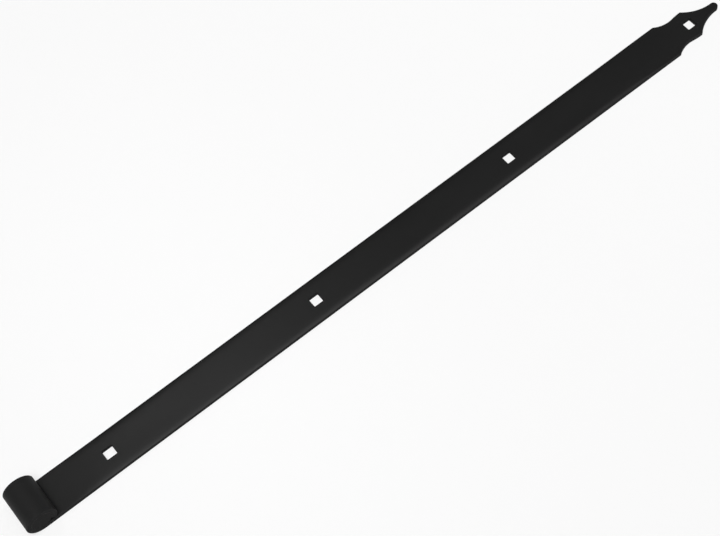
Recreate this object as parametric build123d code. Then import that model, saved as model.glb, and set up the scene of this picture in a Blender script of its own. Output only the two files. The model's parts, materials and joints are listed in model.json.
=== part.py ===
from build123d import *
import os
from math import asin, atan2, cos, sin, sqrt

# Strap door hinge, lying on its back: a flat steel bar with one end rolled into an eye and the
# other cut to a spear tip, and the pin that the eye turns on. Millimetres. The origin is the
# centre of the pin's foot, on the hinge axis. +X runs along the strap to its tip, +Y up the pin
# and +Z out of the strap's front face.

# Bar
strap_width = 40.0
strap_thickness = 5.0
reach = 800.0  # hinge axis to the end of the tip
edge_round = 0.6  # rolled edges of the bar, with its coat

# Eye and pin
pin_diameter = 20.0
pin_clearance = 0.1  # radial, pin to eye
pin_top_setback = 1.0  # top of the pin below the end of the eye
pin_top_chamfer = 1.5
pin_foot_bevel = 0.5
seam_gap = 0.6  # end of the curl to the strap's face

# Square holes for carriage bolts
bolt_neck = 10.0  # side of the square under the bolt's head
bolt_clearance = 0.4  # both sides together
bolt_corner_round = 0.8
bolt_count = 4
first_bolt = 80.0  # from the hinge axis
last_bolt_from_tip = 36.0
rim_round = 0.5  # rolled-over rim of a punched hole

# Spear tip, from the shoulders to the end
neck_inset = 5.2  # in from the bar's edge
neck_radius = 27.0
neck_from_tip = 49.0
head_inset = 4.0  # in from the bar's edge
point_radius = 42.0  # hollow flank between the head and the end
tip_end_radius = 4.0
corner_ease = 0.4  # corners of the outlines, beyond the rolled edge

# Values that follow
bore_radius = pin_diameter / 2 + pin_clearance
eye_radius = bore_radius + strap_thickness
front = -bore_radius  # front face of the bar
back = -eye_radius  # back face of the bar
past_all = 2 * eye_radius  # a cut this long runs past every face of the eye
half_width = strap_width / 2
pin_length = strap_width - pin_top_setback
bolt_hole = bolt_neck + bolt_clearance
bolt_spacing = (reach - last_bolt_from_tip - first_bolt) / (bolt_count - 1)
bolt_places = [(first_bolt + i * bolt_spacing, half_width) for i in range(bolt_count)]


def arc_run(radius, rise):
    """Length along the bar in which an arc that leaves it level climbs by rise."""
    return sqrt(2 * radius * rise - rise**2)


def round_corners(sketch, *places):
    """Round the sketch's corners at these places, a little more than the bar's edges."""
    local = sketch.sketch_local.vertices()
    fillet([local.sort_by_distance(place)[0] for place in places], edge_round + corner_ease)


def rolled_bar():
    """The bar with its end curled into the eye, drawn from the side and as wide as the strap."""
    curl_end = asin((front + seam_gap) / eye_radius)
    inner_end = (bore_radius * cos(curl_end), bore_radius * sin(curl_end))
    outer_end = (eye_radius * cos(curl_end), eye_radius * sin(curl_end))
    with BuildSketch(Plane.XZ) as side:
        with BuildLine():
            Polyline((0, back), (reach, back), (reach, front), (0, front))
            ThreePointArc((0, front), (0, bore_radius), inner_end)
            Line(inner_end, outer_end)
            ThreePointArc(outer_end, (0, eye_radius), (0, back))
        make_face()
        round_corners(side, inner_end, outer_end)
    return extrude(side.sketch, -strap_width)


def half_outline():
    """The strap's outline seen from the front, on one side of its centre line."""
    neck_half = half_width - neck_inset
    head_half = half_width - head_inset
    flank = (reach - tip_end_radius, tip_end_radius)
    head = (flank[0] - arc_run(point_radius, head_half - tip_end_radius), head_half)
    neck = (reach - neck_from_tip, neck_half)
    shoulder = (neck[0] - arc_run(neck_radius, neck_inset), half_width)
    swing = 2 * atan2(head_half - neck_half, head[0] - neck[0])
    turn = (neck[0] + neck_radius * sin(swing), neck_half + neck_radius * (1 - cos(swing)))
    with BuildSketch() as plan:
        with BuildLine():
            Polyline((reach, 0), (-past_all, 0), (-past_all, half_width), shoulder)
            TangentArc(neck, shoulder, tangent=(-1, 0))
            TangentArc(neck, turn, tangent=(1, 0))
            TangentArc(head, turn, tangent=(-1, 0))
            TangentArc(flank, head, tangent=(-1, 0))
            TangentArc(flank, (reach, 0), tangent=(1, 0))
        make_face()
        round_corners(plan, shoulder, head)
    return plan.sketch


def strap():
    """The whole strap: curled bar, cut tip, rolled edges and punched holes."""
    half = half_outline()
    outline = Pos(0, half_width) * (half + mirror(half, Plane.XZ))
    bar = rolled_bar() & extrude(outline, past_all, both=True)
    sharp = bar.edges().filter_by(Axis.Z, reverse=True).filter_by(Axis.Y, reverse=True)
    bar = fillet(sharp, edge_round)
    square = RectangleRounded(bolt_hole, bolt_hole, bolt_corner_round)
    punches = Locations(bolt_places) * extrude(square, past_all, both=True)
    punched = bar - punches
    return fillet(new_edges(bar, *punches, combined=punched), rim_round)


def pintle_pin():
    """The pin: a plain round stub with a lead-in at its top and a bevelled foot."""
    with BuildPart(Plane.XZ) as pin:
        Cylinder(pin_diameter / 2, pin_length, align=(Align.CENTER, Align.CENTER, Align.MAX))
        foot, top = pin.edges().filter_by(GeomType.CIRCLE).sort_by(Axis.Y)
        chamfer(foot, pin_foot_bevel)
        chamfer(top, pin_top_chamfer)
    return pin.part


os.makedirs("parts", exist_ok=True)
for node, solid in (("strap", strap()), ("pintle_pin", pintle_pin())):
    export_step(solid, f"parts/{node}.step")
    print(node, round(solid.volume), solid.bounding_box())
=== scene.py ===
import json
from math import asin, atan2, cos, pi, radians, sin, sqrt, tau

import bmesh
import bpy
from bpy.props import FloatProperty, FloatVectorProperty, PointerProperty, StringProperty
from mathutils import Matrix, Vector


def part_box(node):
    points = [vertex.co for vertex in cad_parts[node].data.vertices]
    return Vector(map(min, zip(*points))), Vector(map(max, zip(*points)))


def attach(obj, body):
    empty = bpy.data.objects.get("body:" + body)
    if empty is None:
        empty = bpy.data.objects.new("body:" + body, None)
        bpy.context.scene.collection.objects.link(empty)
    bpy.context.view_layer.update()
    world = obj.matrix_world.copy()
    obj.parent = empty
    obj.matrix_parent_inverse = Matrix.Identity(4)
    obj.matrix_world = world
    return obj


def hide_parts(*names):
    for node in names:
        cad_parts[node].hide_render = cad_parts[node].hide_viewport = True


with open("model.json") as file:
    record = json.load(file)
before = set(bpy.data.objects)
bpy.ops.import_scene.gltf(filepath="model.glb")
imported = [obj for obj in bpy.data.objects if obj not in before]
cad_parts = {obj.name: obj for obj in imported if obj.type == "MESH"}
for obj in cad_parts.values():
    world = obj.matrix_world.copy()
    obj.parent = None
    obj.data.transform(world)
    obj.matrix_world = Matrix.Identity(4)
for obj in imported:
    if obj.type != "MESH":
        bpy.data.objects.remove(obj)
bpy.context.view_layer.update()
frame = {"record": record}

# A strap door hinge that lies on its back: a flat bar with a rolled eye, square holes and a spear
# tip, and the pin that the eye turns on. Metres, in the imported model's frame: +X along the strap
# from the hinge axis to its tip, +Y up the pin, +Z out of the strap's front face.

bl_info = {
    "name": "Strap Door Hinge",
    "version": (1, 0, 0),
    "blender": (4, 5, 0),
    "location": "3D View > Sidebar > Hinge",
    "description": "Builds a black strap hinge with its pin, and the studio that it lies in",
    "category": "Add Mesh",
}

MM = 0.001
WELD = 0.001 * MM  # points closer together than this become one
CUT_SIDE = "cut side"  # attribute of the strap's faces: 1 on sheared sides, 0 on front and back

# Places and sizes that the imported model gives
MOUNTS = {mount["name"]: Vector(mount["pos_m"]) for mount in frame["record"]["mounts"]}
HOLES = sorted(place.x for name, place in MOUNTS.items() if name.startswith("bolt_hole"))
BACK = MOUNTS["strap_back"].z
FRONT = MOUNTS["bolt_hole_1"].z
STRAP_LOW, STRAP_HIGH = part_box("strap")
PIN_LOW, PIN_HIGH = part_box("pintle_pin")


class StrapSizes(bpy.types.PropertyGroup):
    """Sizes of the strap"""

    width: FloatProperty(
        name="Width", description="Width of the flat bar",
        default=STRAP_HIGH.y - STRAP_LOW.y, unit="LENGTH")
    thickness: FloatProperty(
        name="Thickness", description="Thickness of the flat bar",
        default=FRONT - BACK, unit="LENGTH")
    reach: FloatProperty(
        name="Reach", description="Hinge axis to the end of the tip",
        default=STRAP_HIGH.x, unit="LENGTH")
    eye_radius: FloatProperty(
        name="Eye radius", description="Outside radius of the rolled eye",
        default=-BACK, unit="LENGTH")
    seam_gap: FloatProperty(
        name="Seam gap", description="End of the curl to the strap's front face",
        default=0.6 * MM, unit="LENGTH")
    edge_round: FloatProperty(
        name="Edge round", description="Radius of the bar's rolled edges, with their coat",
        default=0.6 * MM, unit="LENGTH")
    corner_round: FloatProperty(
        name="Corner round", description="Radius of the corners of the outline",
        default=1.0 * MM, unit="LENGTH")
    rollover_width: FloatProperty(
        name="Roll-over width",
        description="Strip of the front that shearing drew down along a long edge, near the eye",
        default=11.0 * MM, unit="LENGTH")
    rollover_tip_width: FloatProperty(
        name="Roll-over tip width",
        description="Strip of the front that shearing drew down along a long edge, near the tip",
        default=5.0 * MM, unit="LENGTH")
    rollover_drop: FloatProperty(
        name="Roll-over drop", description="How far the front is drawn down at a long edge",
        default=0.85 * MM, unit="LENGTH")
    hole_side: FloatProperty(
        name="Hole side", description="Side of a square hole",
        default=10.4 * MM, unit="LENGTH")
    hole_corner: FloatProperty(
        name="Hole corner", description="Radius in the corners of a square hole",
        default=0.8 * MM, unit="LENGTH")
    hole_rim: FloatProperty(
        name="Hole rim", description="Radius of the rolled-over rim of a punched hole",
        default=0.5 * MM, unit="LENGTH")
    neck_inset: FloatProperty(
        name="Neck inset", description="Narrowest place of the tip's neck, in from the bar's edge",
        default=5.2 * MM, unit="LENGTH")
    neck_radius: FloatProperty(
        name="Neck radius", description="Radius of the hollow neck",
        default=27.0 * MM, unit="LENGTH")
    neck_from_tip: FloatProperty(
        name="Neck from tip", description="Narrowest place of the neck to the end of the tip",
        default=49.0 * MM, unit="LENGTH")
    head_inset: FloatProperty(
        name="Head inset", description="Corners of the spear head, in from the bar's edge",
        default=4.0 * MM, unit="LENGTH")
    point_radius: FloatProperty(
        name="Point radius", description="Radius of the hollow flanks of the point",
        default=42.0 * MM, unit="LENGTH")
    end_radius: FloatProperty(
        name="End radius", description="Radius of the rounded end of the point",
        default=4.0 * MM, unit="LENGTH")


class PinSizes(bpy.types.PropertyGroup):
    """Sizes of the hinge pin"""

    radius: FloatProperty(
        name="Radius", description="Radius of the pin",
        default=PIN_HIGH.x, unit="LENGTH")
    length: FloatProperty(
        name="Length", description="Foot of the pin to its top",
        default=PIN_HIGH.y - PIN_LOW.y, unit="LENGTH")
    foot_bevel: FloatProperty(
        name="Foot bevel", description="Bevel round the foot",
        default=0.5 * MM, unit="LENGTH")
    top_chamfer: FloatProperty(
        name="Top chamfer", description="Lead-in round the top",
        default=1.5 * MM, unit="LENGTH")
    softening: FloatProperty(
        name="Softening", description="Width of the coat's round over each turned edge",
        default=0.25 * MM, unit="LENGTH")


class CoatLook(bpy.types.PropertyGroup):
    """Colours and roughness of the black coat"""

    black: StringProperty(
        name="Black", description="Main colour of the coat, as an sRGB hex value",
        default="#151515")
    thin_black: StringProperty(
        name="Thin black", description="Colour where the coat is thinner, as an sRGB hex value",
        default="#181818")
    rubbed: StringProperty(
        name="Rubbed steel", description="Colour of the pin's rubbed edges, as an sRGB hex value",
        default="#3c3b3a")
    roughness: FloatProperty(
        name="Roughness", description="Mean roughness of the satin coat",
        default=0.40, min=0.0, max=1.0, subtype="FACTOR")
    side_roughness: FloatProperty(
        name="Side roughness", description="Roughness of the coat on sheared sides and the pin",
        default=0.95, min=0.0, max=1.0, subtype="FACTOR")
    eye_dullness: FloatProperty(
        name="Eye dullness",
        description="How far the eye is from the bar's roughness to that of the sheared sides",
        default=0.5, min=0.0, max=1.0, subtype="FACTOR")


class StageLook(bpy.types.PropertyGroup):
    """Floor, lamps and camera"""

    floor: StringProperty(
        name="Floor", description="Colour of the floor, as an sRGB hex value",
        default="#fafafa")
    floor_glow: FloatProperty(
        name="Floor glow",
        description="Share of the floor's look that is even white and not lit paper",
        default=0.6, min=0.0, max=1.0, subtype="FACTOR")
    room: FloatProperty(
        name="Room", description="Brightness of the room all round, where 1 is white",
        default=0.13, min=0.0)
    key_strength: FloatProperty(
        name="Key strength", description="Light of the large soft key, as watts on a square metre",
        default=2.32, min=0.0)
    key_spread: FloatProperty(
        name="Key spread", description="How wide the key looks from the hinge",
        default=radians(30), unit="ROTATION")
    key_direction: FloatVectorProperty(
        name="Key direction", description="Way that the key shines, from above the camera's side",
        default=(0.15, 0.28, -0.95), subtype="DIRECTION")
    lamp_height: FloatProperty(
        name="Lamp height", description="Height of the panel and the strip above the hinge axis",
        default=1300 * MM, unit="LENGTH")
    panel_power: FloatProperty(
        name="Panel power", description="Power of the panel that the front mirrors near the eye",
        default=0.043, min=0.0, unit="POWER")
    panel_grid: FloatProperty(
        name="Panel grid", description="Angle that the grid on the panel lets through",
        default=radians(22), unit="ROTATION")
    sheen_middle: FloatProperty(
        name="Sheen middle", description="Place along the strap where the front mirrors the panel",
        default=155 * MM, unit="LENGTH")
    strip_power: FloatProperty(
        name="Strip power", description="Power of the strip that the near edge's roll-over mirrors",
        default=2.75, min=0.0, unit="POWER")
    strip_middle: FloatProperty(
        name="Strip middle",
        description="Place along the strap where the near edge mirrors the middle of the strip",
        default=420 * MM, unit="LENGTH")
    strip_slope: FloatProperty(
        name="Strip slope", description="Slope of the roll-over where it mirrors the strip",
        default=radians(11), unit="ROTATION")
    lens: FloatProperty(
        name="Lens", description="Focal length in millimetres on a 36 mm sensor",
        default=80.24)
    aim: FloatVectorProperty(
        name="Aim", description="Where the camera looks, on the strap's front face",
        default=(358.0 * MM, 19.0 * MM, FRONT), unit="LENGTH")
    distance: FloatProperty(
        name="Distance", description="Camera to the aim",
        default=1460.4 * MM, unit="LENGTH")
    heading: FloatProperty(
        name="Heading", description="Way that the camera looks, turned from +Y towards +X",
        default=radians(27.08), unit="ROTATION")
    elevation: FloatProperty(
        name="Elevation", description="Height of the camera above the horizon",
        default=radians(61.19), unit="ROTATION")
    roll: FloatProperty(
        name="Roll", description="Right side of the picture below the level",
        default=radians(12.34), unit="ROTATION")


# Shared helpers


def linear(hex_colour):
    """An sRGB hex value as a linear colour with alpha."""
    parts = [int(hex_colour[i:i + 2], 16) / 255 for i in (1, 3, 5)]
    return [p / 12.92 if p <= 0.04045 else ((p + 0.055) / 1.055) ** 2.4 for p in parts] + [1.0]


def add(tree, kind, inputs=None, **settings):
    """Add a node to a tree with its settings. An input takes a value, a socket or another node."""
    node = tree.nodes.new(kind)
    for name, value in settings.items():
        setattr(node, name, value)
    for key, value in (inputs or {}).items():
        if isinstance(value, bpy.types.Node):
            value = value.outputs[0]
        if isinstance(value, bpy.types.NodeSocket):
            tree.links.new(value, node.inputs[key])
        else:
            node.inputs[key].default_value = value
    return node


def new_material(name):
    """An empty node material with its tree and output."""
    material = bpy.data.materials.new(name)
    material.use_nodes = True
    material.node_tree.nodes.clear()
    return material, material.node_tree, add(material.node_tree, "ShaderNodeOutputMaterial")


def new_piece(name, shape, material):
    """An object in the scene from a bmesh, with smooth faces and one material."""
    bmesh.ops.recalc_face_normals(shape, faces=shape.faces)
    for face in shape.faces:
        face.smooth = True
    mesh = bpy.data.meshes.new(name)
    shape.to_mesh(mesh)
    shape.free()
    mesh.materials.append(material)
    piece = bpy.data.objects.new(name, mesh)
    bpy.context.scene.collection.objects.link(piece)
    return piece


def arc(centre, radius, start, end, steps):
    """Points round a centre from one angle to another, with their directions out from it."""
    for i in range(steps + 1):
        angle = start + (end - start) * i / steps
        out = Vector((cos(angle), sin(angle)))
        yield centre + out * radius, out


def turned(profile, centre, axis, steps):
    """A bmesh turned from the points of its profile, all the way round an axis through a centre.
    Its faces come in the same order each run, which those of the spin tool don't."""
    shape = bmesh.new()
    lines = []
    for i in range(steps):
        turn = Matrix.Rotation(tau * i / steps, 3, axis)
        lines.append([shape.verts.new(centre + turn @ (point - centre)) for point in profile])
    for line, following in zip(lines, lines[1:] + lines[:1]):
        for i in range(len(profile) - 1):
            shape.faces.new((line[i], line[i + 1], following[i + 1], following[i]))
    bmesh.ops.remove_doubles(shape, verts=shape.verts, dist=WELD)
    return shape


def soften(piece, width, angle, segments):
    """Round the edges sharper than an angle, and keep large flat faces looking flat."""
    bevel = piece.modifiers.new("rounded edges", "BEVEL")
    bevel.width = width
    bevel.segments = segments
    bevel.limit_method = "ANGLE"
    bevel.angle_limit = angle
    normals = piece.modifiers.new("flat faces", "WEIGHTED_NORMAL")
    normals.keep_sharp = True


def bake(piece):
    """Replace a piece's mesh by what its modifiers make of it, and remove them."""
    depsgraph = bpy.context.evaluated_depsgraph_get()
    mesh = bpy.data.meshes.new_from_object(piece.evaluated_get(depsgraph), depsgraph=depsgraph)
    if not mesh.polygons:
        raise RuntimeError(f"{piece.name} came out empty")
    piece.modifiers.clear()
    piece.data = mesh


# Finishes

COAT_IOR = 1.5  # baked polyester resin
COAT_SPECULAR = 0.25  # half the default: the filler in a satin coat mirrors less than clear resin


def black_powder_coat(look):
    """Satin black powder coat, sprayed on steel and baked: a near-black with a wide soft sheen and
    a fine orange peel, a shade thinner in patches that run along the rolled bar. It is matt on the
    sheared sides and in the holes, and the eye is duller than the bar."""
    peel_size = 2.4 * MM  # real peel is about 1 mm, drawn coarser and deeper so that it shows
    peel_height = 0.05 * MM
    peel_detail = 3.0
    patch_size = 28 * MM
    patch_detail = 4.0
    patch_stretch = (0.3, 1.0, 1.0)  # makes patches three times as long as wide, along the bar
    patch_low = 0.3  # most of the noise lies between these two
    patch_high = 0.7
    sheen_change = 0.03  # how far the roughness goes either way from patch to patch
    heat_start = 12 * MM  # the eye is dullest up to here, as from the heat it was rolled in
    heat_end = 75 * MM  # and as the bar is from here on
    material, tree, output = new_material("satin black powder coat")
    place = add(tree, "ShaderNodeTexCoord").outputs["Object"]
    peel = add(tree, "ShaderNodeTexNoise", {
        "Vector": place, "Scale": 1 / peel_size, "Detail": peel_detail})
    bump = add(tree, "ShaderNodeBump", {"Height": peel, "Distance": peel_height})
    drawn = add(tree, "ShaderNodeMapping", {"Vector": place, "Scale": patch_stretch})
    patches = add(tree, "ShaderNodeTexNoise", {
        "Vector": drawn, "Scale": 1 / patch_size, "Detail": patch_detail})
    colour = add(tree, "ShaderNodeMix", {
        "Factor": patches, "A": linear(look.black), "B": linear(look.thin_black)}, data_type="RGBA")
    sheen = add(tree, "ShaderNodeMapRange", {
        "Value": patches, "From Min": patch_low, "From Max": patch_high,
        "To Min": look.roughness - sheen_change, "To Max": look.roughness + sheen_change})
    cut = add(tree, "ShaderNodeAttribute", attribute_name=CUT_SIDE)
    along = add(tree, "ShaderNodeSeparateXYZ", {0: place}).outputs["X"]
    heat = add(tree, "ShaderNodeMapRange", {
        "Value": along, "From Min": heat_start, "From Max": heat_end,
        "To Min": look.eye_dullness, "To Max": 0.0}, interpolation_type="SMOOTHSTEP")
    dull = add(tree, "ShaderNodeMath", {0: cut.outputs["Fac"], 1: heat}, operation="MAXIMUM")
    matt = add(tree, "ShaderNodeMix", {
        "Factor": dull, "A": sheen.outputs[0], "B": look.side_roughness})
    coat = add(tree, "ShaderNodeBsdfPrincipled", {
        "Base Color": colour.outputs["Result"], "Roughness": matt.outputs[0], "Normal": bump,
        "IOR": COAT_IOR, "Specular IOR Level": COAT_SPECULAR})
    tree.links.new(coat.outputs[0], output.inputs["Surface"])
    return material


def rubbed_black_pin(look):
    """Black-coated turned steel: dull black ends with faint turning rings, and a grey rim where the
    eye has rubbed the coat off the edges."""
    ring_spacing = 0.8 * MM  # feed marks are finer, drawn coarser so that they show
    ring_height = 0.01 * MM
    ring_strength = 0.5
    rim_inside = 9.2 * MM
    rim_outside = 10.0 * MM
    fleck_size = 3.0 * MM
    fleck_detail = 5.0
    across_pin = (1.0, 0.0, 1.0)  # leaves out the height up the pin
    material, tree, output = new_material("rubbed black turned steel")
    place = add(tree, "ShaderNodeTexCoord").outputs["Object"]
    flat = add(tree, "ShaderNodeVectorMath", {0: place, 1: across_pin}, operation="MULTIPLY")
    radius = add(tree, "ShaderNodeVectorMath", {0: flat}, operation="LENGTH").outputs["Value"]
    turn = add(tree, "ShaderNodeMath", {0: radius, 1: tau / ring_spacing}, operation="MULTIPLY")
    rings = add(tree, "ShaderNodeMath", {0: turn}, operation="SINE")
    bump = add(tree, "ShaderNodeBump", {
        "Height": rings, "Distance": ring_height, "Strength": ring_strength})
    flecks = add(tree, "ShaderNodeTexNoise", {
        "Vector": place, "Scale": 1 / fleck_size, "Detail": fleck_detail})
    rim = add(tree, "ShaderNodeMapRange", {
        "Value": radius, "From Min": rim_inside, "From Max": rim_outside})
    wear = add(tree, "ShaderNodeMath", {0: rim, 1: flecks}, operation="MULTIPLY")
    colour = add(tree, "ShaderNodeMix", {
        "Factor": wear, "A": linear(look.black), "B": linear(look.rubbed)}, data_type="RGBA")
    sheen = add(tree, "ShaderNodeMapRange", {
        "Value": wear, "To Min": look.side_roughness, "To Max": look.roughness})
    coat = add(tree, "ShaderNodeBsdfPrincipled", {
        "Base Color": colour.outputs["Result"], "Roughness": sheen, "Normal": bump,
        "IOR": COAT_IOR, "Specular IOR Level": COAT_SPECULAR})
    tree.links.new(coat.outputs[0], output.inputs["Surface"])
    return material


def white_floor(look):
    """Matt white studio paper, lit from below as on a light table: pale and even, so that only a
    faint soft shadow shows. The glow is there for the camera and in mirrored views, and lights
    nothing."""
    material, tree, output = new_material("matt white paper")
    paper = add(tree, "ShaderNodeBsdfDiffuse", {"Color": linear(look.floor)})
    glow = add(tree, "ShaderNodeEmission", {"Strength": 1.0})  # 1 is white
    ray = add(tree, "ShaderNodeLightPath").outputs
    mirrored = add(tree, "ShaderNodeMath", {
        0: ray["Is Glossy Ray"], 1: ray["Is Transmission Ray"]}, operation="MAXIMUM")
    seen = add(tree, "ShaderNodeMath", {0: ray["Is Camera Ray"], 1: mirrored}, operation="MAXIMUM")
    share = add(tree, "ShaderNodeMath", {0: seen, 1: look.floor_glow}, operation="MULTIPLY")
    surface = add(tree, "ShaderNodeMixShader", {"Fac": share, 1: paper, 2: glow})
    tree.links.new(surface.outputs[0], output.inputs["Surface"])
    return material


# Strap


def touching(first, first_distance, second, second_distance):
    """The point at these distances from two centres, left of the way from first to second."""
    way = second - first
    span = way.length
    along = (span ** 2 + first_distance ** 2 - second_distance ** 2) / (2 * span)
    aside = sqrt(first_distance ** 2 - along ** 2)
    return first + (way * along + Vector((-way.y, way.x)) * aside) / span


def tip_outline(sizes):
    """One side of the tip, from the shoulder to the end of the point: places with their outward
    directions, on the +Y side of the centre line."""
    shoulder_steps = 6
    neck_steps = 24
    head_steps = 10
    crest_steps = 8
    point_steps = 24
    end_steps = 12
    half = sizes.width / 2
    corner = sizes.corner_round
    neck_half = half - sizes.neck_inset
    head_half = half - sizes.head_inset
    flank = Vector((sizes.reach - sizes.end_radius, sizes.end_radius))
    point_rise = head_half - sizes.end_radius
    head_x = flank.x - sqrt(2 * sizes.point_radius * point_rise - point_rise ** 2)
    neck_x = sizes.reach - sizes.neck_from_tip
    swing = 2 * atan2(head_half - neck_half, head_x - neck_x)
    head_radius = (head_x - neck_x) / sin(swing) - sizes.neck_radius

    neck = Vector((neck_x, neck_half + sizes.neck_radius))
    head = Vector((head_x, head_half - head_radius))
    point = flank + Vector((0, sizes.point_radius))
    end = Vector((flank.x, 0))
    drop = neck.y - (half - corner)
    shoulder = Vector((neck.x - sqrt((sizes.neck_radius + corner) ** 2 - drop ** 2), half - corner))
    crest = touching(head, head_radius - corner, point, sizes.point_radius + corner)

    to_neck = atan2(*(neck - shoulder).yx)
    to_point = atan2(*(point - crest).yx)
    from_head = atan2(*(crest - head).yx)
    yield from arc(shoulder, corner, pi / 2, to_neck, shoulder_steps)
    for place, out in arc(neck, sizes.neck_radius, to_neck - pi, swing - pi / 2, neck_steps):
        yield place, -out
    yield from arc(head, head_radius, pi / 2 + swing, from_head, head_steps)
    yield from arc(crest, corner, from_head, to_point, crest_steps)
    for place, out in arc(point, sizes.point_radius, to_point - pi, -pi / 2, point_steps):
        yield place, -out
    yield from arc(end, sizes.end_radius, pi / 2, 0, end_steps)


def side_outline(sizes, curl_length):
    """One side of the flat blank, from the middle of the curl's end to the end of the point. Gives
    each place with its outward direction, then the numbers of the places where the curl's corner
    ends and the tip starts."""
    corner_steps = 6
    curl_steps = 103  # about three degrees of the eye each
    row_spacing = 14 * MM
    hole_clear = 0.75 * sizes.hole_side  # from the middle of a hole to the next row of points
    half = sizes.width / 2
    corner = sizes.corner_round
    left = Vector((-1, 0))
    aside = Vector((0, 1))

    def straight(begin, finish, steps):
        """Even places along the long edge, without the first."""
        for i in range(1, steps + 1):
            yield Vector((begin + (finish - begin) * i / steps, half)), aside

    places = [(Vector((-curl_length, 0)), left)]
    start = corner - curl_length
    places += arc(Vector((start, half - corner)), corner, pi, pi / 2, corner_steps)
    corner_end = len(places) - 1
    places += straight(start, 0.0, curl_steps)
    tip = list(tip_outline(sizes))
    stops = [0.0] + [x + side * hole_clear for x in HOLES for side in (-1, 1)]
    stops = [x for x in stops if x < tip[0][0].x - row_spacing] + [tip[0][0].x]
    for begin, finish in zip(stops, stops[1:]):
        places += straight(begin, finish, max(1, round((finish - begin) / row_spacing)))
    return places + tip[1:], corner_end, len(places) - 1


def rollover_share(sizes, x):
    """How much roll-over the front has at a place along the bar: none in the eye and the tip."""
    fade = 60 * MM  # length in which it comes and goes
    tip_start = sizes.reach - sizes.neck_from_tip - sizes.neck_radius
    near_eye = (x - sizes.eye_radius) / fade
    near_tip = (tip_start - x) / fade
    share = min(max(min(near_eye, near_tip), 0.0), 1.0)
    return share * share * (3 - 2 * share)  # a smooth step


def rim_section(sizes, x):
    """The bar's edge at a place along it, from its flat front to its flat back, as distances in
    from the outline and heights above the back."""
    rollover_steps = 10
    round_steps = 6
    edge = sizes.edge_round
    least_band = 1.3 * edge  # keeps the points apart where the front has no roll-over
    share = rollover_share(sizes, x)
    along = min(max(x / sizes.reach, 0.0), 1.0)
    width = sizes.rollover_width + (sizes.rollover_tip_width - sizes.rollover_width) * along
    band = least_band + (width - least_band) * share

    def front(inset):
        """Height of the front, which bends down from the flat as a cubic does."""
        return sizes.thickness - sizes.rollover_drop * share * (1 - inset / band) ** 3

    insets = [band + (edge - band) * i / rollover_steps for i in range(rollover_steps)]
    points = [(inset, front(inset)) for inset in insets]
    for centre, start in ((front(edge) - edge, pi / 2), (edge, 0.0)):
        for i in range(round_steps + 1):
            angle = start - pi / 2 * i / round_steps
            points.append((edge - edge * cos(angle), centre + edge * sin(angle)))
    return points


def flat_blank(sizes, curl_length):
    """The bar before it is punched and rolled, flat on its back, its tip cut and edges rounded."""
    middle = sizes.width / 2
    shape = bmesh.new()
    cut = shape.faces.layers.float.new(CUT_SIDE)
    places, corner, tip = side_outline(sizes, curl_length)
    sides = []
    for side in (1, -1):
        columns = []
        for place, out in places:
            column = []
            for inset, height in rim_section(sizes, place.x):
                spot = place - out * inset
                column.append(shape.verts.new((spot.x, middle + side * spot.y, height)))
            columns.append(column)
        sides.append(columns)
    far, near = sides
    for columns in sides:
        for a, b in zip(columns, columns[1:]):
            for i in range(len(a) - 1):
                shape.faces.new((a[i], a[i + 1], b[i + 1], b[i]))
    for level in (0, -1):
        far_line = [column[level] for column in far]
        near_line = [column[level] for column in near]
        shape.faces.new(far_line[:corner + 1] + near_line[corner:0:-1])
        for i in range(corner, tip):
            shape.faces.new((far_line[i], far_line[i + 1], near_line[i + 1], near_line[i]))
        shape.faces.new(far_line[tip:] + near_line[-2:tip - 1:-1])
    # Arcs of the outline repeat the point where they meet, and both sides have the ends of the bar
    bmesh.ops.remove_doubles(shape, verts=shape.verts, dist=WELD)
    shape.normal_update()
    for face in shape.faces:
        face[cut] = 1 - abs(face.normal.z)
    return shape


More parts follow.
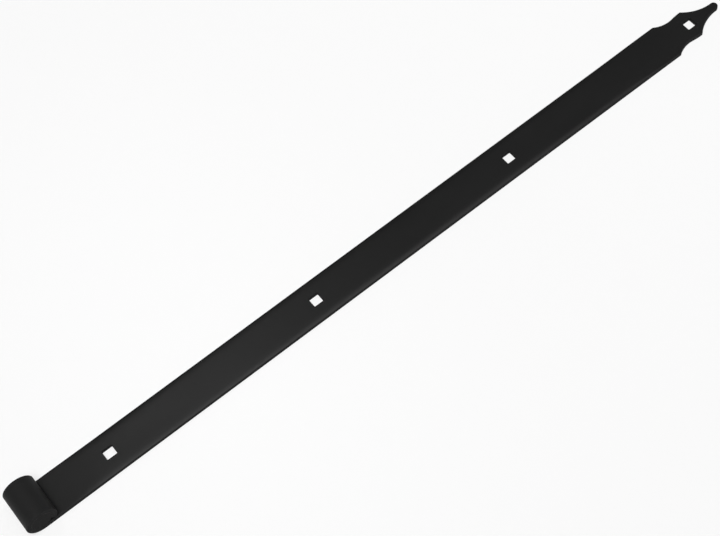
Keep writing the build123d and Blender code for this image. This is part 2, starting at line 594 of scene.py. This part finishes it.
def punch_and_roll():
    """Node tree that punches square holes along the flat blank and rolls its end round the pin."""
    hole_corner_steps = 6
    tree = bpy.data.node_groups.new("punch and roll", "GeometryNodeTree")
    for name, kind in (
        ("Blank", "Geometry"), ("Thickness", "Float"), ("Centre Line", "Float"),
        ("Hole Side", "Float"), ("Hole Corner", "Float"), ("First Hole", "Float"),
        ("Hole Spacing", "Float"), ("Hole Count", "Int"), ("Eye Radius", "Float"),
        ("Coat", "Material"),
    ):
        tree.interface.new_socket(name, in_out="INPUT", socket_type="NodeSocket" + kind)
    tree.interface.new_socket("Strap", in_out="OUTPUT", socket_type="NodeSocketGeometry")
    given = add(tree, "NodeGroupInput").outputs

    # A rounded square goes through the bar at each bolt, from a thickness below it to one above
    square = add(tree, "GeometryNodeCurvePrimitiveQuadrilateral", {
        "Width": given["Hole Side"], "Height": given["Hole Side"]})
    square = add(tree, "GeometryNodeFilletCurve", {
        "Curve": square, "Radius": given["Hole Corner"], "Count": hole_corner_steps}, mode="POLY")
    above = add(tree, "ShaderNodeMath", {0: given["Thickness"], 1: 2.0}, operation="MULTIPLY")
    below = add(tree, "ShaderNodeMath", {0: given["Thickness"], 1: -1.0}, operation="MULTIPLY")
    stroke = add(tree, "GeometryNodeCurvePrimitiveLine", {
        "Start": add(tree, "ShaderNodeCombineXYZ", {"Z": below}),
        "End": add(tree, "ShaderNodeCombineXYZ", {"Z": above})})
    punch = add(tree, "GeometryNodeCurveToMesh", {
        "Curve": stroke, "Profile Curve": square, "Fill Caps": True})
    row = add(tree, "GeometryNodeMeshLine", {
        "Count": given["Hole Count"],
        "Start Location": add(tree, "ShaderNodeCombineXYZ", {
            "X": given["First Hole"], "Y": given["Centre Line"]}),
        "Offset": add(tree, "ShaderNodeCombineXYZ", {"X": given["Hole Spacing"]})})
    punches = add(tree, "GeometryNodeInstanceOnPoints", {"Points": row, "Instance": punch})
    punches = add(tree, "GeometryNodeRealizeInstances", {"Geometry": punches})
    punches = add(tree, "GeometryNodeStoreNamedAttribute", {
        "Geometry": punches, "Name": CUT_SIDE, "Value": 1.0}, data_type="FLOAT", domain="FACE")
    punched = add(tree, "GeometryNodeMeshBoolean", {
        "Mesh 1": given["Blank"], "Mesh 2": punches}, operation="DIFFERENCE", solver="EXACT")

    # What lies before the hinge axis goes round it, at its own height in the bar. The turn is
    # measured at half the thickness.
    place = add(tree, "ShaderNodeSeparateXYZ", {0: add(tree, "GeometryNodeInputPosition")}).outputs
    radius = add(tree, "ShaderNodeMath", {
        0: given["Eye Radius"], 1: place["Z"]}, operation="SUBTRACT")
    half = add(tree, "ShaderNodeMath", {0: given["Thickness"], 1: 0.5}, operation="MULTIPLY")
    mean = add(tree, "ShaderNodeMath", {0: given["Eye Radius"], 1: half}, operation="SUBTRACT")
    rolled = add(tree, "ShaderNodeMath", {0: place["X"], 1: 0.0}, operation="MINIMUM")
    straight = add(tree, "ShaderNodeMath", {0: place["X"], 1: 0.0}, operation="MAXIMUM")
    turn = add(tree, "ShaderNodeMath", {0: rolled, 1: mean}, operation="DIVIDE")
    sine = add(tree, "ShaderNodeMath", {0: turn}, operation="SINE")
    cosine = add(tree, "ShaderNodeMath", {0: turn}, operation="COSINE")
    along = add(tree, "ShaderNodeMath", {0: radius, 1: sine, 2: straight}, operation="MULTIPLY_ADD")
    down = add(tree, "ShaderNodeMath", {0: radius, 1: cosine}, operation="MULTIPLY")
    height = add(tree, "ShaderNodeMath", {0: down, 1: -1.0}, operation="MULTIPLY")
    curled = add(tree, "GeometryNodeSetPosition", {
        "Geometry": punched,
        "Position": add(tree, "ShaderNodeCombineXYZ", {"X": along, "Y": place["Y"], "Z": height})})

    smooth = add(tree, "GeometryNodeSetShadeSmooth", {"Geometry": curled})
    whole = add(tree, "GeometryNodeRealizeInstances", {"Geometry": smooth})
    coated = add(tree, "GeometryNodeSetMaterial", {"Geometry": whole, "Material": given["Coat"]})
    add(tree, "NodeGroupOutput", {"Strap": coated})
    return tree


class HINGE_OT_strap(bpy.types.Operator):
    """Build the strap: bar, rolled eye, square holes and spear tip"""

    bl_idname = "hinge.strap"
    bl_label = "Strap"

    def execute(self, context):
        rim_angle = radians(50)
        rim_segments = 4
        sizes = context.scene.hinge_strap
        coat = black_powder_coat(context.scene.hinge_coat)
        bore_radius = sizes.eye_radius - sizes.thickness
        curl_end = asin((sizes.seam_gap - bore_radius) / sizes.eye_radius)
        curl_length = (3 * pi / 2 - curl_end) * (sizes.eye_radius - sizes.thickness / 2)
        strap = new_piece("strap_bar", flat_blank(sizes, curl_length), coat)
        tree = punch_and_roll()
        modifier = strap.modifiers.new("punch and roll", "NODES")
        modifier.node_group = tree
        inputs = {
            "Thickness": sizes.thickness,
            "Centre Line": sizes.width / 2,
            "Hole Side": sizes.hole_side,
            "Hole Corner": sizes.hole_corner,
            "First Hole": HOLES[0],
            "Hole Spacing": HOLES[1] - HOLES[0],
            "Hole Count": len(HOLES),
            "Eye Radius": sizes.eye_radius,
            "Coat": coat,
        }
        for socket in tree.interface.items_tree:
            if socket.name in inputs:
                modifier[socket.identifier] = inputs[socket.name]
        soften(strap, sizes.hole_rim, rim_angle, rim_segments)
        bake(strap)
        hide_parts("strap")
        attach(strap, "strap")
        return {"FINISHED"}


# Pin


class HINGE_OT_pin(bpy.types.Operator):
    """Build the pin that the eye turns on"""

    bl_idname = "hinge.pin"
    bl_label = "Pin"

    def execute(self, context):
        turn_steps = 96
        edge_angle = radians(30)
        edge_segments = 3
        sizes = context.scene.hinge_pin
        foot = Vector((0, 0, 0))
        profile = [
            foot,
            Vector((sizes.radius - sizes.foot_bevel, 0, 0)),
            Vector((sizes.radius, sizes.foot_bevel, 0)),
            Vector((sizes.radius, sizes.length - sizes.top_chamfer, 0)),
            Vector((sizes.radius - sizes.top_chamfer, sizes.length, 0)),
            Vector((0, sizes.length, 0)),
        ]
        shape = turned(profile, foot, "Y", turn_steps)
        pin = new_piece("hinge_pin", shape, rubbed_black_pin(context.scene.hinge_coat))
        soften(pin, sizes.softening, edge_angle, edge_segments)
        bake(pin)
        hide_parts("pintle_pin")
        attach(pin, "pin")
        return {"FINISHED"}


# Stage


def paper_sweep(look):
    """Paper under the hinge: a wide flat round that sweeps up far away, behind low views too."""
    flat_radius = 15.0
    sweep_radius = 3.3
    sweep_steps = 16
    turn_steps = 64
    gap = 0.1 * MM  # keeps the paper off the strap's back
    centre = Vector((look.aim[0], look.aim[1], BACK - gap))
    sweep = arc(Vector((flat_radius, sweep_radius)), sweep_radius, -pi / 2, 0, sweep_steps)
    profile = [centre] + [centre + Vector((place.x, 0, place.y)) for place, out in sweep]
    return turned(profile, centre, "Z", turn_steps)


def soft_lamp(name, length, depth, place, target, power, spread=pi):
    """An area lamp that shines from a place to a target, with its length along the strap."""
    lamp = bpy.data.lights.new(name, "AREA")
    lamp.shape = "RECTANGLE"
    lamp.size = length
    lamp.size_y = depth
    lamp.energy = power
    lamp.spread = spread
    holder = bpy.data.objects.new(name, lamp)
    holder.location = place
    holder.rotation_euler = (target - place).to_track_quat("-Z", "Y").to_euler()
    bpy.context.scene.collection.objects.link(holder)


def mirrored_place(camera, spot, slope, height):
    """The place at a height that the camera sees mirrored in a spot of the front, where the front
    slopes down to the near edge."""
    normal = Vector((0, -sin(slope), cos(slope)))
    sight = (camera - spot).normalized()
    beam = 2 * sight.dot(normal) * normal - sight
    return spot + beam * (height - spot.z) / beam.z


def panel_lamp(look, camera):
    """A softbox with a grid, which gives the front its sheen near the eye."""
    length = 300 * MM
    depth = 500 * MM
    spot = Vector((look.sheen_middle, look.aim[1], FRONT))
    place = mirrored_place(camera, spot, 0.0, look.lamp_height)
    soft_lamp("panel", length, depth, place, spot, look.panel_power, look.panel_grid)


def strip_lamp(look, camera):
    """A long narrow softbox overhead, which draws the light line along the near edge."""
    length = 1500 * MM
    depth = 120 * MM
    spot = Vector((look.strip_middle, 0, FRONT))
    place = mirrored_place(camera, spot, look.strip_slope, look.lamp_height)
    below = place.xy.to_3d()
    soft_lamp("strip", length, depth, place, below, look.strip_power)


def key_light(look):
    """A far, wide, soft key from the camera's side, which lights the floor evenly."""
    lamp = bpy.data.lights.new("key", "SUN")
    lamp.energy = look.key_strength
    lamp.angle = look.key_spread
    holder = bpy.data.objects.new("key", lamp)
    holder.rotation_euler = Vector(look.key_direction).to_track_quat("-Z", "Y").to_euler()
    bpy.context.scene.collection.objects.link(holder)


def studio_room(look):
    """A dim room, so that the coat stays dark."""
    world = bpy.data.worlds.new("studio room")
    world.use_nodes = True
    tree = world.node_tree
    tree.nodes.clear()
    room = add(tree, "ShaderNodeBackground", {"Strength": look.room})
    add(tree, "ShaderNodeOutputWorld", {"Surface": room})
    bpy.context.scene.world = world


def photo_camera(look):
    """Set the camera by where it looks, how far off it is and how it is turned. Gives its place."""
    level = cos(look.elevation)
    ahead = Vector((sin(look.heading) * level, cos(look.heading) * level, -sin(look.elevation)))
    right = ahead.cross(Vector((0, 0, 1))).normalized()
    right = Matrix.Rotation(look.roll, 3, ahead) @ right
    up = right.cross(ahead)
    camera = bpy.data.objects.new("camera", bpy.data.cameras.new("camera"))
    camera.data.lens = look.lens
    axes = Matrix((right, up, -ahead)).transposed()
    place = Vector(look.aim) - ahead * look.distance
    camera.matrix_world = Matrix.LocRotScale(place, axes, None)
    bpy.context.scene.collection.objects.link(camera)
    bpy.context.scene.camera = camera
    return place


class HINGE_OT_stage(bpy.types.Operator):
    """Lay the floor and set the lamps, the room and the camera"""

    bl_idname = "hinge.stage"
    bl_label = "Stage"

    def execute(self, context):
        look = context.scene.hinge_stage
        new_piece("floor", paper_sweep(look), white_floor(look))
        camera = photo_camera(look)
        panel_lamp(look, camera)
        strip_lamp(look, camera)
        key_light(look)
        studio_room(look)
        context.scene.view_settings.view_transform = "Standard"
        return {"FINISHED"}


class HINGE_PT_panel(bpy.types.Panel):
    """Sizes, colours and build buttons of the hinge"""

    bl_idname = "HINGE_PT_panel"
    bl_label = "Strap Door Hinge"
    bl_space_type = "VIEW_3D"
    bl_region_type = "UI"
    bl_category = "Hinge"

    def draw(self, context):
        for operator, groups in (
            (HINGE_OT_strap, ("hinge_strap", "hinge_coat")),
            (HINGE_OT_pin, ("hinge_pin",)),
            (HINGE_OT_stage, ("hinge_stage",)),
        ):
            box = self.layout.box()
            for group in groups:
                values = getattr(context.scene, group)
                for name in values.__annotations__:
                    box.prop(values, name)
            box.operator(operator.bl_idname)


GROUPS = {
    "hinge_strap": StrapSizes,
    "hinge_pin": PinSizes,
    "hinge_coat": CoatLook,
    "hinge_stage": StageLook,
}
CLASSES = (*GROUPS.values(), HINGE_OT_strap, HINGE_OT_pin, HINGE_OT_stage, HINGE_PT_panel)


def register():
    for cls in CLASSES:
        bpy.utils.register_class(cls)
    for name, group in GROUPS.items():
        setattr(bpy.types.Scene, name, PointerProperty(type=group))


def unregister():
    for name in GROUPS:
        delattr(bpy.types.Scene, name)
    for cls in reversed(CLASSES):
        bpy.utils.unregister_class(cls)


def main():
    register()
    bpy.ops.hinge.strap()
    bpy.ops.hinge.pin()
    bpy.ops.hinge.stage()


if __name__ == "__main__":
    main()
